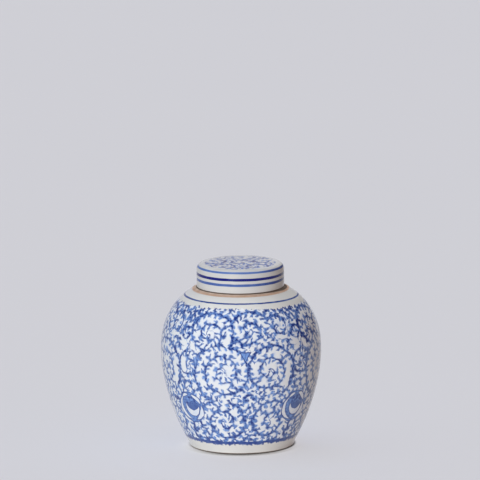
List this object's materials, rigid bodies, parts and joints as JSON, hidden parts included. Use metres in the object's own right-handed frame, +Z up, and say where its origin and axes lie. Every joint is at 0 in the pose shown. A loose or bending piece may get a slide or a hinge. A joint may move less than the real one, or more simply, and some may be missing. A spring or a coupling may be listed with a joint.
{
  "type": "ginger jar",
  "caption": "Lidded porcelain ginger jar with a full round shoulder, a foot ring and a flat cap lid that lifts off.",
  "frame": {"origin": "on the jar's axis, in the plane the foot ring stands on", "axes": "+Z up along the jar's axis of revolution; -Y is the side the picture shows, and the shape is the same all round"},
  "size_m": [0.165, 0.165, 0.19],
  "materials": {
    "body_porcelain": "glossy clear glaze over hand-painted cobalt blue scrolls on white, bare biscuit on the seat, neck and foot ring",
    "lid_porcelain": "glossy clear glaze over cobalt blue bands on the side and a soft blue scroll on the top, bare biscuit rim"
  },
  "bodies": {
    "jar": {"jar_body": "body_porcelain"},
    "lid": {"lid": "lid_porcelain"}
  },
  "joints": [
    {"name": "lid_lift", "type": "slide", "parent": "jar", "child": "lid", "axis": [0, 0, 1], "range_m": [0, 0.06]}
  ]
}
